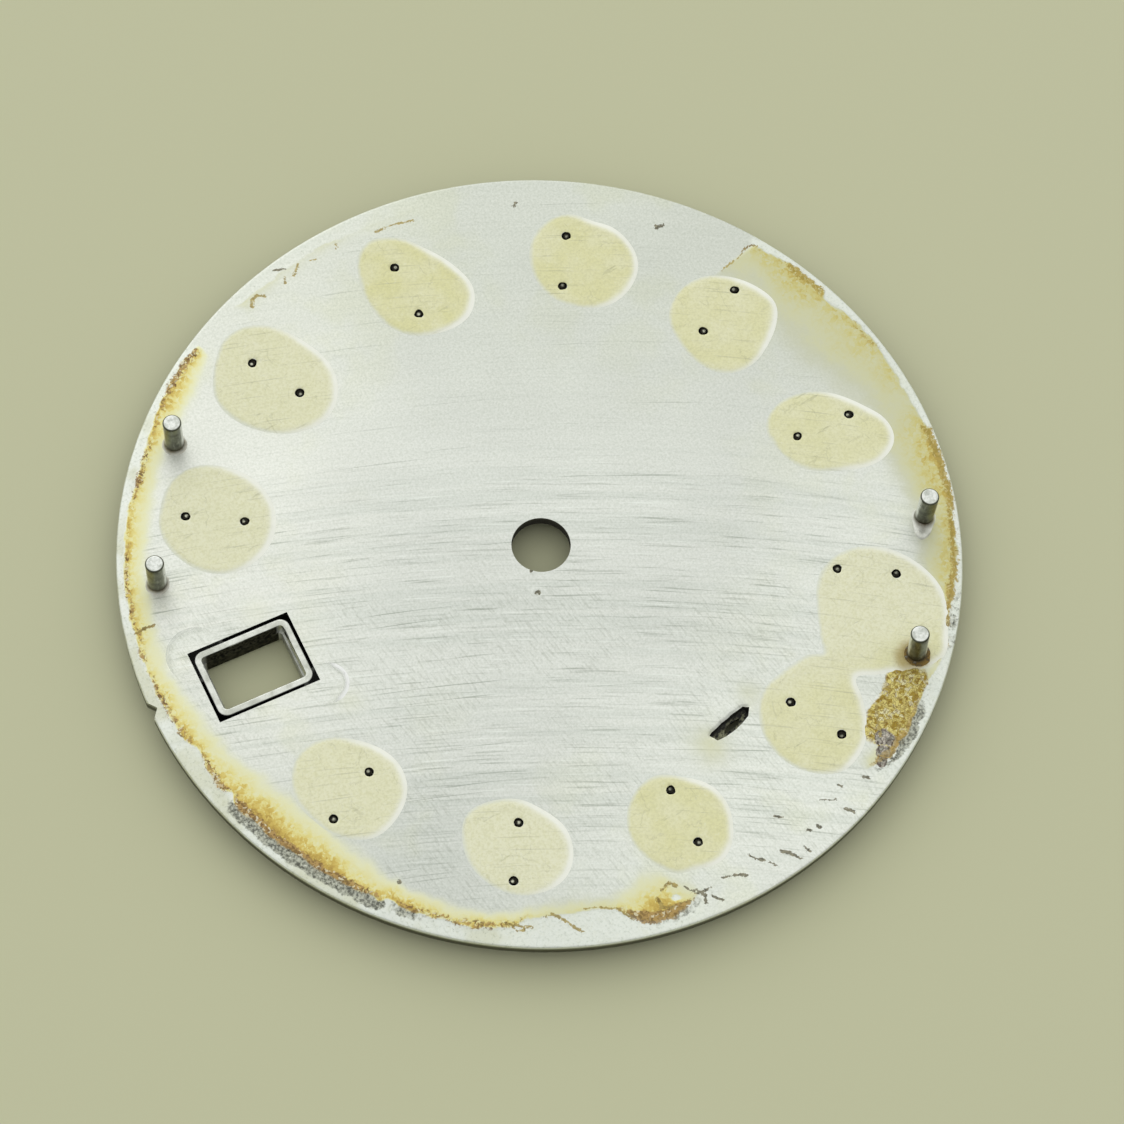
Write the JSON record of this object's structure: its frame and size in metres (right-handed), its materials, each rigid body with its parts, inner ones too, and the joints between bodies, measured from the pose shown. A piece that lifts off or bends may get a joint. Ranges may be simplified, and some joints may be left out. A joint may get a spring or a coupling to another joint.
{
  "type": "watch dial",
  "caption": "Round wristwatch dial with a centre hole, framed date window, rim notch, applied hour markers, soldered dial feet and cement over the marker feet.",
  "frame": {"origin": "centre of the centre hole on the back face of the plate", "axes": "+Z out of the back towards the movement, +Y towards 12 o'clock, so 3 o'clock lies at -X"},
  "size_m": [0.0285, 0.0284, 0.0028],
  "materials": {
    "plate": "brushed brass with a worn silver plating, stained yellow and brown at the rim",
    "coat": "gloss black lacquer",
    "print": "satin printed ink",
    "marker": "bevelled and polished",
    "frame": "polished, satin inside the spigot",
    "foot": "silvered pin with a polished end",
    "solder": "dull solder with brown flux",
    "cement": "clear cement yellowed with age",
    "clear_cement": "clear cement"
  },
  "bodies": {
    "root": {"dial_plate": "plate", "front_coat": "coat", "minute_track": "print", "date_frame": "frame", "hour_marker_01": "marker", "hour_marker_02": "marker", "hour_marker_04": "marker", "hour_marker_05": "marker", "hour_marker_06": "marker", "hour_marker_07": "marker", "hour_marker_08": "marker", "hour_marker_09": "marker", "hour_marker_10": "marker", "hour_marker_11": "marker", "hour_marker_12": "marker", "dial_foot_08": "foot", "dial_foot_12": "foot", "dial_foot_38": "foot", "dial_foot_42": "foot", "foot_solder_08": "solder", "foot_solder_12": "solder", "foot_solder_38": "solder", "foot_solder_42": "solder", "cement_01": "cement", "cement_02": "cement", "cement_04": "cement", "cement_05": "cement", "cement_06": "cement", "cement_07_08": "cement", "cement_09": "cement", "cement_10": "cement", "cement_11": "cement", "cement_12": "cement", "frame_dab_upper": "clear_cement", "frame_dab_lower": "clear_cement"}
  },
  "joints": []
}
